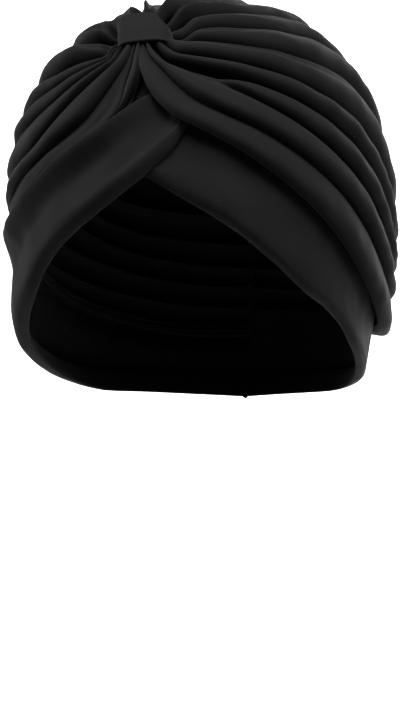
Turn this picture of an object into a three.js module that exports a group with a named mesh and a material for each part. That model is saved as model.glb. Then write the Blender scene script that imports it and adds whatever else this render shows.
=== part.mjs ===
// Turban headwrap: two pleated halves, two crossed edge bands and the loop that gathers them.
// Millimetres. The wearer looks along -Y, +X is the wearer's left, +Z is up.
// The origin is on the inside of the crown, where the top of the head bears.

import * as THREE from "three";

// ---------- the head space the cloth is stretched over ----------

const HEAD_CENTRE_Z = -90;
const HEAD_HALF_WIDTH = 75;
const HEAD_HALF_DEPTH = 95;
const HEAD_UP = 95;
const HEAD_DOWN = 118;
const HEAD_SQUARENESS = 2.2;
const CROWN_FLAT = 5;
const CROWN_FLAT_SPREAD = 32;

// ---------- the gathering point ----------

const KNOT_TILT = 31;
const KNOT_SIDE_LEAN = 3.5;

// ---------- cloth ----------

const WALL = 1.8;
const SEAM_GAP = 0.35;
const GROOVE_HEIGHT = 4.6;
const GROOVE_HEIGHT_AT_KNOT = 5.2;
const PLEAT_ROUNDNESS = 0.62;
const PLEAT_SAMPLES = [0, 0.14, 0.42, 0.76, 1];
const WRAP_STEPS = 22;

const BAND_STEPS = 44;
const BAND_CLEARANCE = 0.6;
const BACK_GAP_ANGLE = 0.35;

const DEG = Math.PI / 180;

// Fold lines, a row per fold, lowest first. Each column is a place along the fold:
// [angle away from the knot, angle round the knot], degrees, 0 straight down the brow.
const STATIONS = ["knot", "collar", "brow", "temple", "side", "ear", "quarter", "rear", "seam"];

const LEFT_FOLDS = [
  { knot: [5, 0], collar: [16, 7.5], brow: [28, 20.5], temple: [46, 44], side: [72, 57.5], ear: [104, 67.5],
    quarter: [129, 82], rear: [148, 119], seam: [155, 187] },
  { knot: [5, 10], collar: [14, 22.5], brow: [28, 36.5], temple: [45, 56], side: [70, 69.5], ear: [100, 80],
    quarter: [122, 91], rear: [143, 125], seam: [150, 186] },
  { knot: [5, 20], collar: [14, 32], brow: [26, 51.5], temple: [45, 68.5], side: [70, 80], ear: [94, 88],
    quarter: [116, 97], rear: [138, 128], seam: [145, 185] },
  { knot: [6, 32], collar: [14, 42], brow: [26, 62], temple: [44, 78.5], side: [66, 89], ear: [88, 95],
    quarter: [109, 102], rear: [133, 131], seam: [140, 184] },
  { knot: [8.4, 48], collar: [14, 54.5], brow: [26, 74], temple: [43, 88.5], side: [62, 99], ear: [80, 103.5],
    quarter: [102, 110], rear: [126, 136], seam: [133, 183.5] },
  { knot: [8.8, 72], collar: [14, 80], brow: [26, 92], temple: [42, 106], side: [56, 116],
    ear: [70, 120], quarter: [91, 124], rear: [117, 141], seam: [125, 182.5] },
  { knot: [8.8, 94], collar: [14, 105], brow: [24, 112], temple: [36, 121], side: [47, 128.5],
    ear: [60, 132.5], quarter: [79, 138], rear: [103, 151], seam: [113, 181.5] },
  { knot: [8.4, 132], collar: [13, 131], brow: [21, 135], temple: [31, 137], side: [41, 141.5],
    ear: [52, 143], quarter: [70, 149], rear: [90, 160], seam: [99, 180.5] },
  { knot: [7, 158], collar: [12, 156], brow: [19, 156], temple: [27, 157], side: [36, 158],
    ear: [45, 160], quarter: [57, 163], rear: [73, 169], seam: [84, 180] },
  { knot: [5, 180], collar: [12, 180], brow: [18, 180], temple: [24, 180], side: [31, 180],
    ear: [39, 180], quarter: [48, 179.5], rear: [58, 179], seam: [68, 178.5] },
];

const RIGHT_FOLDS = [
  { knot: [5, 4], collar: [17, -2], brow: [28, 13.5], temple: [42, 39.5], side: [60, 59], ear: [82, 78],
    quarter: [109, 91], rear: [139, 118], seam: [155, 173] },
  { knot: [5, 24], collar: [14, 18.5], brow: [28, 29], temple: [42, 48.5], side: [56, 65], ear: [76, 81],
    quarter: [103, 94], rear: [134, 123], seam: [150, 174] },
  { knot: [7.8, 40], collar: [14, 33.5], brow: [28, 47], temple: [40, 56], side: [53, 71.5], ear: [70, 86.5],
    quarter: [96, 100], rear: [128, 127], seam: [145, 175] },
  { knot: [9, 46], collar: [13, 42], brow: [22, 55.5], temple: [31, 65.5], side: [42, 77.5], ear: [58, 91],
    quarter: [85, 105], rear: [123, 131], seam: [140, 176] },
  { knot: [8.8, 54], collar: [12, 49], brow: [19, 65.5], temple: [28, 77], side: [38, 88], ear: [53, 99],
    quarter: [79, 111], rear: [117, 134], seam: [134, 176.5] },
  { knot: [8.8, 66], collar: [12, 60], brow: [18, 77.5], temple: [25, 87], side: [34, 98],
    ear: [48, 107.5], quarter: [72, 118.5], rear: [110, 138], seam: [127, 177.5] },
  { knot: [8.8, 99], collar: [13, 95], brow: [19, 102], temple: [26, 113], side: [34, 123],
    ear: [45, 128], quarter: [65, 135], rear: [97, 150], seam: [112, 178.5] },
  { knot: [8.4, 142], collar: [12, 147], brow: [18, 149], temple: [24, 147], side: [31, 147],
    ear: [41, 147], quarter: [58, 151], rear: [84, 161], seam: [98, 179.5] },
  { knot: [7, 165], collar: [12, 166], brow: [18, 164], temple: [25, 162], side: [33, 161],
    ear: [43, 160], quarter: [56, 164], rear: [72, 170], seam: [84, 180] },
  { knot: [5, 180], collar: [12, 180], brow: [18, 180], temple: [24, 180], side: [31, 180],
    ear: [39, 180], quarter: [48, 180.5], rear: [58, 181], seam: [68, 181.5] },
];

// How far each pleat stands above its grooves, mm, a row per pleat from the lowest up.
const LEFT_RISES = [
  { knot: 2.5, collar: 3, brow: 3, temple: 4, side: 4.5, ear: 4.5, quarter: 4.5, rear: 4, seam: 2.5 },
  { knot: 2.5, collar: 3, brow: 4, temple: 5, side: 5, ear: 4.5, quarter: 4.5, rear: 4, seam: 2.5 },
  { knot: 2.5, collar: 2.5, brow: 2.5, temple: 4.5, side: 5, ear: 4.5, quarter: 4.5, rear: 4, seam: 2.5 },
  { knot: 2, collar: 3, brow: 4.5, temple: 5, side: 5, ear: 4.5, quarter: 4.5, rear: 4, seam: 2.5 },
  { knot: 2, collar: 4, brow: 5, temple: 5, side: 5, ear: 5, quarter: 4.5, rear: 4, seam: 2.5 },
  { knot: 2, collar: 4, brow: 5, temple: 5, side: 4.5, ear: 5, quarter: 4.5, rear: 4, seam: 2.5 },
  { knot: 3, collar: 5, brow: 5, temple: 4, side: 4, ear: 4, quarter: 4.5, rear: 4, seam: 2.5 },
  { knot: 5, collar: 8, brow: 6, temple: 4, side: 3.5, ear: 4, quarter: 4.5, rear: 4, seam: 2.5 },
  { knot: 5, collar: 7, brow: 6, temple: 4, side: 3.5, ear: 3.5, quarter: 4, rear: 4, seam: 2.5 },
];

const RIGHT_RISES = [
  { knot: 2.5, collar: 3, brow: 3, temple: 3, side: 2.5, ear: 3, quarter: 4, rear: 4, seam: 2.5 },
  { knot: 2.5, collar: 5, brow: 5, temple: 4.5, side: 4, ear: 4, quarter: 4.5, rear: 4, seam: 2.5 },
  { knot: 2, collar: 4, brow: 4.5, temple: 4.5, side: 4.5, ear: 4.5, quarter: 4.5, rear: 4, seam: 2.5 },
  { knot: 2, collar: 3, brow: 3.5, temple: 4, side: 4.5, ear: 4.5, quarter: 4.5, rear: 4, seam: 2.5 },
  { knot: 2, collar: 2.5, brow: 3, temple: 4, side: 4.5, ear: 4.5, quarter: 4.5, rear: 4, seam: 2.5 },
  { knot: 2, collar: 5, brow: 7, temple: 6, side: 5, ear: 4.5, quarter: 4.5, rear: 4, seam: 2.5 },
  { knot: 3.5, collar: 7.5, brow: 7, temple: 5, side: 4, ear: 4, quarter: 4.5, rear: 4, seam: 2.5 },
  { knot: 5, collar: 8, brow: 6, temple: 4, side: 3.5, ear: 4, quarter: 4.5, rear: 4, seam: 2.5 },
  { knot: 5, collar: 7, brow: 6, temple: 4, side: 3.5, ear: 3.5, quarter: 4, rear: 4, seam: 2.5 },
];

// Extra height of the lowest fold lines, mm: the left wrap rides over both bands at the brow,
// the right wrap tucks in behind the crest of its own band.
const LEFT_LIPS = [
  { knot: 1, collar: 5, brow: 4.4, temple: 1.4, side: 1.2, ear: 1.2, quarter: 1.2, rear: 1.2, seam: 1.2 },
  { knot: 0, collar: 3, brow: 3.4, temple: 0.8, side: 0, ear: 0, quarter: 0, rear: 0, seam: 0 },
  { knot: 0, collar: 1, brow: 1.4, temple: 0, side: 0, ear: 0, quarter: 0, rear: 0, seam: 0 },
];
const RIGHT_LIPS = [
  { knot: 0, collar: -1.2, brow: -1.3, temple: -1.4, side: -1.3, ear: -1.2, quarter: -1.2, rear: -1.2,
    seam: -1.2 },
];
const RIGHT_TUCK = 3;
const TUCK_DROP = 0.5;

// Bands, a row per place round the head: azimuth from the front in degrees, edge heights in mm,
// lift off the head in mm, and how much of the section's body and crest is there.
const LEFT_BAND_ROWS = [
  { azimuth: -8, low: -51, high: -42, lift: 0, body: 0.2, crest: 1 },
  { azimuth: 0, low: -59, high: -40, lift: 0, body: 0.2, crest: 1 },
  { azimuth: 10, low: -69, high: -38, lift: 0, body: 0.3, crest: 1 },
  { azimuth: 20, low: -80, high: -40, lift: 0, body: 1, crest: 1 },
  { azimuth: 30, low: -94, high: -50, lift: 0, body: 1, crest: 1 },
  { azimuth: 42, low: -111, high: -65, lift: 0, body: 1, crest: 1 },
  { azimuth: 55, low: -124, high: -84, lift: 0, body: 1, crest: 1 },
  { azimuth: 71, low: -140, high: -107, lift: 0, body: 1, crest: 1 },
  { azimuth: 90, low: -153, high: -128, lift: 0, body: 1, crest: 1 },
  { azimuth: 105, low: -165, high: -135, lift: 0, body: 1, crest: 1 },
  { azimuth: 140, low: -174, high: -142, lift: 0, body: 1, crest: 1 },
  { azimuth: 180, low: -178, high: -143, lift: 0, body: 1, crest: 1 },
];

const RIGHT_BAND_ROWS = [
  { azimuth: -14, low: -37, high: -30, lift: 2.2, body: 0, crest: 0 },
  { azimuth: -8, low: -49, high: -28, lift: 2.6, body: 0.3, crest: 0 },
  { azimuth: 0, low: -60, high: -31, lift: 2.6, body: 0.6, crest: 0.3 },
  { azimuth: 10, low: -71.5, high: -41.5, lift: 2, body: 1, crest: 1 },
  { azimuth: 20, low: -82.5, high: -50.5, lift: 0.8, body: 1, crest: 1 },
  { azimuth: 30, low: -95, high: -60, lift: 0.2, body: 1, crest: 1 },
  { azimuth: 42, low: -112, high: -72.5, lift: 0, body: 1, crest: 1 },
  { azimuth: 55, low: -125, high: -83, lift: 0, body: 1, crest: 1 },
  { azimuth: 71, low: -138, high: -92, lift: 0, body: 1, crest: 1 },
  { azimuth: 90, low: -151, high: -107, lift: 0, body: 1, crest: 1 },
  { azimuth: 105, low: -160, high: -117.5, lift: 0, body: 1, crest: 1 },
  { azimuth: 120, low: -167, high: -128.5, lift: 0, body: 1, crest: 1 },
  { azimuth: 140, low: -172, high: -140.5, lift: 0, body: 1, crest: 1 },
  { azimuth: 160, low: -176, high: -148.5, lift: 0, body: 1, crest: 1 },
  { azimuth: 180, low: -178, high: -150, lift: 0, body: 1, crest: 1 },
];

// Section of each band from its hem (0) to its upper edge (1): heights of body and crest, mm.
const LEFT_BAND_SECTION = [
  { across: 0, body: 0, crest: 0 },
  { across: 0.1, body: 0.9, crest: 0 },
  { across: 0.35, body: 1.3, crest: 0 },
  { across: 0.65, body: 0.5, crest: 0 },
  { across: 1, body: 0, crest: 0 },
];

const RIGHT_BAND_SECTION = [
  { across: 0, body: 0, crest: 0 },
  { across: 0.1, body: 1, crest: 0 },
  { across: 0.34, body: 1.7, crest: 0 },
  { across: 0.62, body: 0.6, crest: 0 },
  { across: 0.8, body: 0.6, crest: 1.1 },
  { across: 0.88, body: 0.6, crest: 3.3 },
  { across: 0.95, body: 0.6, crest: 4.3 },
  { across: 1, body: 0.6, crest: 4.4 },
];

// ---------- the loop ----------

const LOOP_HALF_SPAN = 12;
const LOOP_HALF_WIDTH = 10;
const LOOP_FOOT_HALF_WIDTH = 6.2;
const LOOP_TOP = 13;
const LOOP_FOOT = 3;
const LOOP_WALL = 1.8;
const LOOP_SADDLE = 0.8;
const LOOP_ARCH_STEPS = 16;
const LOOP_WIDTH_STEPS = 8;

const CLOTH_COLOUR = 0x141416;
const CLOTH_ROUGHNESS = 0.85;

// ---------- interpolation ----------

function smoothBetween(values, place) {
  const last = values.length - 1;
  const clamped = Math.min(Math.max(place, 0), last);
  const index = Math.min(Math.floor(clamped), last - 1);
  const t = clamped - index;
  const a = values[Math.max(index - 1, 0)];
  const b = values[index];
  const c = values[index + 1];
  const d = values[Math.min(index + 2, last)];
  const slopeIn = (c - a) / 2;
  const slopeOut = (d - b) / 2;
  const t2 = t * t;
  const t3 = t2 * t;
  return b * (2 * t3 - 3 * t2 + 1) + slopeIn * (t3 - 2 * t2 + t) + c * (3 * t2 - 2 * t3) + slopeOut * (t3 - t2);
}

function rowPlace(rows, azimuth) {
  let index = 0;
  while (index < rows.length - 2 && rows[index + 1].azimuth < azimuth) {
    index += 1;
  }
  const low = rows[index].azimuth;
  const high = rows[index + 1].azimuth;
  return index + Math.min(Math.max((azimuth - low) / (high - low), 0), 1);
}

function linearAt(rows, azimuth, column) {
  const place = rowPlace(rows, azimuth);
  const index = Math.min(Math.floor(place), rows.length - 2);
  return rows[index][column] + (rows[index + 1][column] - rows[index][column]) * (place - index);
}

function easedAt(rows, azimuth, column) {
  return smoothBetween(rows.map((row) => row[column]), rowPlace(rows, azimuth));
}

// ---------- the head space as a surface ----------

function headRadius(direction) {
  const half = direction.z > 0 ? HEAD_UP : HEAD_DOWN;
  const sum =
    Math.pow(Math.abs(direction.x) / HEAD_HALF_WIDTH, HEAD_SQUARENESS) +
    Math.pow(Math.abs(direction.y) / HEAD_HALF_DEPTH, HEAD_SQUARENESS) +
    Math.pow(Math.abs(direction.z) / half, HEAD_SQUARENESS);
  const fromTop = Math.acos(Math.min(Math.max(direction.z, -1), 1)) / DEG;
  const flat = CROWN_FLAT * Math.exp(-Math.pow(fromTop / CROWN_FLAT_SPREAD, 2));
  return Math.pow(sum, -1 / HEAD_SQUARENESS) - flat;
}

function pointAbove(direction, height) {
  const radius = headRadius(direction) + height;
  return new THREE.Vector3(direction.x * radius, direction.y * radius, HEAD_CENTRE_Z + direction.z * radius);
}

// Knot frame: away from the head at the knot, down the brow, and to the wearer's left.
const KNOT_OUT = new THREE.Vector3(
  -Math.sin(KNOT_SIDE_LEAN * DEG),
  -Math.sin(KNOT_TILT * DEG) * Math.cos(KNOT_SIDE_LEAN * DEG),
  Math.cos(KNOT_TILT * DEG) * Math.cos(KNOT_SIDE_LEAN * DEG),
);
const KNOT_DOWN = new THREE.Vector3(0, -Math.cos(KNOT_TILT * DEG), -Math.sin(KNOT_TILT * DEG));
const KNOT_LEFT = new THREE.Vector3().crossVectors(KNOT_OUT, KNOT_DOWN).normalize();

function directionFromKnot(away, round) {
  const result = new THREE.Vector3();
  result.addScaledVector(KNOT_OUT, Math.cos(away * DEG));
  result.addScaledVector(KNOT_DOWN, Math.sin(away * DEG) * Math.cos(round * DEG));
  result.addScaledVector(KNOT_LEFT, Math.sin(away * DEG) * Math.sin(round * DEG));
  return result;
}

// ---------- closed shells from an outer and an inner grid ----------

function shellGeometry(outer, inner) {
  const rows = outer.length;
  const columns = outer[0].length;
  const positions = [];
  for (const grid of [outer, inner]) {
    for (const row of grid) {
      for (const point of row) {
        positions.push(point.x, point.y, point.z);
      }
    }
  }
  const out = (i, j) => i * columns + j;
  const into = (i, j) => rows * columns + i * columns + j;
  const triangles = [];
  const quad = (a, b, c, d) => {
    triangles.push(a, b, c, a, c, d);
  };
  for (let i = 0; i < rows - 1; i += 1) {
    for (let j = 0; j < columns - 1; j += 1) {
      quad(out(i, j), out(i, j + 1), out(i + 1, j + 1), out(i + 1, j));
      quad(into(i, j), into(i + 1, j), into(i + 1, j + 1), into(i, j + 1));
    }
  }
  for (let j = 0; j < columns - 1; j += 1) {
    quad(out(0, j), into(0, j), into(0, j + 1), out(0, j + 1));
    quad(out(rows - 1, j + 1), into(rows - 1, j + 1), into(rows - 1, j), out(rows - 1, j));
  }
  for (let i = 0; i < rows - 1; i += 1) {
    quad(out(i + 1, 0), into(i + 1, 0), into(i, 0), out(i, 0));
    quad(out(i, columns - 1), into(i, columns - 1), into(i + 1, columns - 1), out(i + 1, columns - 1));
  }
  const geometry = new THREE.BufferGeometry();
  geometry.setAttribute("position", new THREE.Float32BufferAttribute(positions, 3));
  geometry.setIndex(facingOut(positions, triangles));
  geometry.computeVertexNormals();
  return geometry;
}

function facingOut(positions, triangles) {
  let volume = 0;
  const at = (index) => new THREE.Vector3().fromArray(positions, index * 3);
  for (let i = 0; i < triangles.length; i += 3) {
    volume += at(triangles[i]).dot(at(triangles[i + 1]).cross(at(triangles[i + 2])));
  }
  if (volume > 0) {
    return triangles;
  }
  const turned = [];
  for (let i = 0; i < triangles.length; i += 3) {
    turned.push(triangles[i], triangles[i + 2], triangles[i + 1]);
  }
  return turned;
}

// ---------- pleated wraps ----------

function pleatShape(fraction) {
  return Math.pow(Math.max(4 * fraction * (1 - fraction), 0), PLEAT_ROUNDNESS);
}

function lineAt(fold, place, side) {
  // A fold line passes smoothly through its stations as directions from the head's centre.
  const stops = STATIONS.map((name) => directionFromKnot(fold[name][0], side * fold[name][1]));
  const result = new THREE.Vector3(
    smoothBetween(stops.map((stop) => stop.x), place),
    smoothBetween(stops.map((stop) => stop.y), place),
    smoothBetween(stops.map((stop) => stop.z), place),
  );
  return result.normalize();
}

function columnAt(row, place) {
  return smoothBetween(STATIONS.map((name) => row[name]), place);
}

function wrapGeometry(folds, rises, lips, tuck, side) {
  const outer = [];
  const inner = [];
  for (let step = 0; step <= WRAP_STEPS; step += 1) {
    const place = ((STATIONS.length - 1) * step) / WRAP_STEPS;
    const lines = folds.map((fold) => lineAt(fold, place, side));
    const nearKnot = Math.max(1 - place, 0);
    const groove = GROOVE_HEIGHT + (GROOVE_HEIGHT_AT_KNOT - GROOVE_HEIGHT) * nearKnot;
    const floors = folds.map((fold, index) => groove + (lips[index] ? columnAt(lips[index], place) : 0));
    const outerRow = [];
    const innerRow = [];
    if (tuck > 0) {
      // A plain strip below the lowest fold, behind the band.
      const below = lines[0].clone().sub(lines[1]).normalize();
      const reach = (tuck * Math.min(Math.max(place - 1, 0), 1)) / HEAD_HALF_DEPTH;
      const direction = lines[0].clone().addScaledVector(below, reach + 0.002).normalize();
      outerRow.push(pointAbove(direction, floors[0] - TUCK_DROP));
      innerRow.push(pointAbove(direction, floors[0] - TUCK_DROP - WALL));
    }
    for (let pleat = 0; pleat < rises.length; pleat += 1) {
      const rise = columnAt(rises[pleat], place);
      for (const fraction of PLEAT_SAMPLES) {
        if (pleat > 0 && fraction === 0) {
          continue;
        }
        const floor = floors[pleat] + (floors[pleat + 1] - floors[pleat]) * fraction;
        const height = floor + rise * pleatShape(fraction);
        const direction = lines[pleat].clone().lerp(lines[pleat + 1], fraction).normalize();
        outerRow.push(pointAbove(direction, height));
        innerRow.push(pointAbove(direction, height - WALL));
      }
    }
    outer.push(outerRow);
    inner.push(innerRow);
  }
  openSeam(outer, side);
  openSeam(inner, side);
  return shellGeometry(outer, inner);
}

function openSeam(grid, side) {
  // Half of the gap between the two wraps, along the crown and down the back.
  for (const row of grid) {
    row[row.length - 1].x += side * SEAM_GAP;
  }
  for (const point of grid[grid.length - 1].slice(0, -1)) {
    point.x += side * SEAM_GAP;
  }
}

// ---------- edge bands ----------

function directionAt(azimuth, height, side) {
  // The direction whose point on the head space has this azimuth and height.
  let slope = Math.atan2(height - HEAD_CENTRE_Z, HEAD_HALF_DEPTH);
  const result = new THREE.Vector3();
  for (let pass = 0; pass < 12; pass += 1) {
    const flat = Math.cos(slope);
    result.set(side * flat * Math.sin(azimuth * DEG), -flat * Math.cos(azimuth * DEG), Math.sin(slope));
    const radius = headRadius(result);
    const wanted = Math.min(Math.max((height - HEAD_CENTRE_Z) / radius, -0.98), 0.98);
    slope += 0.7 * (Math.asin(wanted) - slope);
  }
  return result;
}

function bandGeometry(rows, section, side) {
  const outer = [];
  const inner = [];
  const first = rows[0].azimuth;
  const last = rows[rows.length - 1].azimuth - BACK_GAP_ANGLE;
  for (let step = 0; step <= BAND_STEPS; step += 1) {
    const azimuth = first + ((last - first) * step) / BAND_STEPS;
    const low = easedAt(rows, azimuth, "low");
    const high = easedAt(rows, azimuth, "high");
    const lift = linearAt(rows, azimuth, "lift");
    const body = linearAt(rows, azimuth, "body");
    const crest = linearAt(rows, azimuth, "crest");
    const outerRow = [];
    const innerRow = [];
    for (const place of section) {
      const base = BAND_CLEARANCE + lift + place.body * body + place.crest * crest;
      const direction = directionAt(azimuth, low + (high - low) * place.across, side);
      outerRow.push(pointAbove(direction, base + WALL));
      innerRow.push(pointAbove(direction, base));
    }
    outer.push(outerRow);
    inner.push(innerRow);
  }
  return shellGeometry(outer, inner);
}

// ---------- gathering loop ----------

function loopPoint(across, along, drop) {
  // across: along the wearer's left; along: down the brow; drop: below the loop's top, mm.
  const radius = headRadius(KNOT_OUT) + LOOP_TOP - drop;
  const point = new THREE.Vector3(0, 0, HEAD_CENTRE_Z);
  point.addScaledVector(KNOT_OUT, radius);
  point.addScaledVector(KNOT_LEFT, across);
  point.addScaledVector(KNOT_DOWN, along);
  return point;
}

function loopGeometry() {
  const outer = [];
  const inner = [];
  const rise = LOOP_TOP - LOOP_FOOT;
  for (let step = 0; step <= LOOP_ARCH_STEPS; step += 1) {
    const turn = Math.PI * (step / LOOP_ARCH_STEPS - 0.5);
    const sine = Math.sin(turn);
    const cosine = Math.cos(turn);
    const across = LOOP_HALF_SPAN * Math.sign(sine) * Math.pow(Math.abs(sine), 0.7);
    const drop = rise * (1 - Math.pow(Math.max(cosine, 0), 0.7));
    const innerAcross = across * (1 - LOOP_WALL / LOOP_HALF_SPAN);
    const halfWidth = LOOP_FOOT_HALF_WIDTH + (LOOP_HALF_WIDTH - LOOP_FOOT_HALF_WIDTH) * cosine;
    const outerRow = [];
    const innerRow = [];
    for (let part = 0; part <= LOOP_WIDTH_STEPS; part += 1) {
      const width = (2 * part) / LOOP_WIDTH_STEPS - 1;
      const along = halfWidth * width;
      const bow = (along * along) / (2 * HEAD_HALF_DEPTH);
      const saddle = LOOP_SADDLE * (1 - width * width);
      outerRow.push(loopPoint(across, along, drop + bow + saddle));
      innerRow.push(loopPoint(innerAcross, along, Math.min(drop + LOOP_WALL, rise) + bow + saddle));
    }
    outer.push(outerRow);
    inner.push(innerRow);
  }
  return shellGeometry(outer, inner);
}

// ---------- assembly ----------

function clothMesh(name, geometry) {
  const material = new THREE.MeshStandardMaterial({
    color: CLOTH_COLOUR,
    roughness: CLOTH_ROUGHNESS,
    metalness: 0,
  });
  material.name = name;
  const mesh = new THREE.Mesh(geometry, material);
  mesh.name = name;
  return mesh;
}

const headwrap = new THREE.Group();
headwrap.name = "turban_headwrap";
headwrap.add(clothMesh("left_wrap", wrapGeometry(LEFT_FOLDS, LEFT_RISES, LEFT_LIPS, 0, 1)));
headwrap.add(clothMesh("right_wrap", wrapGeometry(RIGHT_FOLDS, RIGHT_RISES, RIGHT_LIPS, RIGHT_TUCK, -1)));
headwrap.add(clothMesh("left_band", bandGeometry(LEFT_BAND_ROWS, LEFT_BAND_SECTION, 1)));
headwrap.add(clothMesh("right_band", bandGeometry(RIGHT_BAND_ROWS, RIGHT_BAND_SECTION, -1)));
headwrap.add(clothMesh("knot_loop", loopGeometry()));

export default headwrap;
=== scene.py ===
# Turban headwrap: two pleated wraps, two crossed edge bands and the loop that gathers them.
# Metres in the scene. The tables below are in millimetres and degrees.
import math

import bmesh
import bpy
from mathutils import Matrix, Vector, noise


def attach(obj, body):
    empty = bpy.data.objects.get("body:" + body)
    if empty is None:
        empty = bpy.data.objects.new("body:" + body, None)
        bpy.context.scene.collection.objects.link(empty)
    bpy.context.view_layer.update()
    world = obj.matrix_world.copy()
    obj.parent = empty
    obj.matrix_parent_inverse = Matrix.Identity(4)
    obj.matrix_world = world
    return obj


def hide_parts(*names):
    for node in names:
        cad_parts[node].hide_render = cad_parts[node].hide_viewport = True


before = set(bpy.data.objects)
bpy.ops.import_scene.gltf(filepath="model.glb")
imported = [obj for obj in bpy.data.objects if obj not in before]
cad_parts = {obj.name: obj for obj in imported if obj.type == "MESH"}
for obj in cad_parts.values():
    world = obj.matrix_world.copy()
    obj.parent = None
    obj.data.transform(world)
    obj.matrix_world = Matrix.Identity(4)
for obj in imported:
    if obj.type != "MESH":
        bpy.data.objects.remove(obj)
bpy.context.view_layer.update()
print("frame loaded:", ", ".join(sorted(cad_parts)))

# the head space the cloth is stretched over
head = {
    "centreZ": -90,
    "halfWidth": 75,
    "halfDepth": 95,
    "up": 95,
    "down": 118,
    "squareness": 2.2,
    "crownFlat": 5,
    "crownSpread": 32,
    "knotTilt": 31,
    "knotLean": 3.5,
}


def smoothBetween(values, place):
    last = len(values) - 1
    place = min(max(place, 0), last)
    index = min(int(place), last - 1)
    t = place - index
    a = values[max(index - 1, 0)]
    b = values[index]
    c = values[index + 1]
    d = values[min(index + 2, last)]
    slopeIn = (c - a) * 0.5
    slopeOut = (d - b) * 0.5
    return (b * (2 * t ** 3 - 3 * t ** 2 + 1) + slopeIn * (t ** 3 - 2 * t ** 2 + t)
            + c * (3 * t ** 2 - 2 * t ** 3) + slopeOut * (t ** 3 - t ** 2))


headCentre = Vector((0, 0, head["centreZ"] / 1000))
seamTurns = (0.0012, 0.0028)  # how far the wraps' seams are turned in
bandSeamTurns = (0.0012, 0.0022)


def turnedIn(point, depth):
    inward = (headCentre - point).normalized()
    return point + inward * depth


def fade(low, high, value):
    t = min(max((value - low) / (high - low), 0), 1)
    return t * t * (3 - 2 * t)


def headRadius(direction):
    half = head["up"] if direction.z > 0 else head["down"]
    power = head["squareness"]
    total = (abs(direction.x) / head["halfWidth"]) ** power
    total += (abs(direction.y) / head["halfDepth"]) ** power
    total += (abs(direction.z) / half) ** power
    fromTop = math.degrees(math.acos(min(max(direction.z, -1), 1)))
    dip = head["crownFlat"] * math.exp(-(fromTop / head["crownSpread"]) ** 2)
    return total ** (-1 / power) - dip


def pointAbove(direction, height):
    radius = headRadius(direction) + height
    z = head["centreZ"] + direction.z * radius
    return Vector((direction.x * radius, direction.y * radius, z)) / 1000


tilt = math.radians(head["knotTilt"])
lean = math.radians(head["knotLean"])
knotOut = Vector((
    -math.sin(lean),
    -math.sin(tilt) * math.cos(lean),
    math.cos(tilt) * math.cos(lean),
))
knotDown = Vector((0, -math.cos(tilt), -math.sin(tilt)))
knotLeft = knotOut.cross(knotDown).normalized()


def directionFromKnot(away, around):
    away = math.radians(away)
    around = math.radians(around)
    down = math.sin(away) * math.cos(around)
    left = math.sin(away) * math.sin(around)
    return knotOut * math.cos(away) + knotDown * down + knotLeft * left


# a grid whose vertices are set out from rows of points; the cloth map is in units of 10 mm
def clothFromRows(name, rows):
    across = len(rows[0]) - 1
    along = len(rows) - 1
    bm = bmesh.new()
    bmesh.ops.create_grid(bm, x_segments=across, y_segments=along, size=0.5)
    places = {}
    for vert in bm.verts:
        i = round((vert.co.x + 0.5) * across)
        j = round((vert.co.y + 0.5) * along)
        places[vert] = (i, j)
    middleRow = rows[along // 2]
    middleColumn = [row[across // 2] for row in rows]
    acrossRun = runAlong(middleRow)
    alongRun = runAlong(middleColumn)
    for vert, (i, j) in places.items():
        vert.co = rows[j][i]
    clothMap = bm.loops.layers.uv.new("cloth")
    for face in bm.faces:
        for loop in face.loops:
            i, j = places[loop.vert]
            loop[clothMap].uv = (acrossRun[i] * 100, alongRun[j] * 100)
    bm.normal_update()
    facing = 0
    for face in bm.faces:
        facing += face.normal.dot(face.calc_center_median() - headCentre) * face.calc_area()
    if facing < 0:
        bmesh.ops.reverse_faces(bm, faces=bm.faces)
    mesh = bpy.data.meshes.new(name)
    bm.to_mesh(mesh)
    bm.free()
    for polygon in mesh.polygons:
        polygon.use_smooth = True
    piece = bpy.data.objects.new(name, mesh)
    bpy.context.scene.collection.objects.link(piece)
    return piece


def runAlong(points):
    run = [0]
    for before, after in zip(points, points[1:]):
        run.append(run[-1] + (after - before).length)
    return run


def sheetArea(piece):
    return sum(polygon.area for polygon in piece.data.polygons)


def giveThickness(piece, thickness):
    wall = piece.modifiers.new("wall", "SOLIDIFY")
    wall.thickness = thickness
    wall.offset = -1
    wall.use_even_offset = False


# pleated wraps: a row is a fold, a cell is degrees (away from the knot, round the knot)
stations = ["core", "knot", "collar", "brow", "temple", "side", "ear", "quarter", "rear", "seam"]

# one pleat from its lower valley to the next: share of the way up, mm it slips over or under
# its fold line, and share of its height
pleatSection = [
    {"share": 0.0, "slip": 1.5, "height": 0.0},
    {"share": 0.0, "slip": 0.8, "height": 0.04},
    {"share": 0.0, "slip": 0.1, "height": 0.16},
    {"share": 0.0, "slip": -0.3, "height": 0.34},
    {"share": 0.01, "slip": -0.3, "height": 0.54},
    {"share": 0.04, "slip": -0.1, "height": 0.73},
    {"share": 0.1, "slip": 0.0, "height": 0.88},
    {"share": 0.18, "slip": 0.0, "height": 0.97},
    {"share": 0.28, "slip": 0.0, "height": 1.0},
    {"share": 0.4, "slip": 0.0, "height": 0.96},
    {"share": 0.54, "slip": 0.0, "height": 0.86},
    {"share": 0.68, "slip": 0.0, "height": 0.73},
    {"share": 0.82, "slip": 0.0, "height": 0.56},
    {"share": 0.93, "slip": 0.0, "height": 0.37},
    {"share": 1.0, "slip": 0.5, "height": 0.16},
    {"share": 1.0, "slip": 1.1, "height": 0.03},
    {"share": 1.0, "slip": 1.5, "height": 0.0},
]

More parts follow.
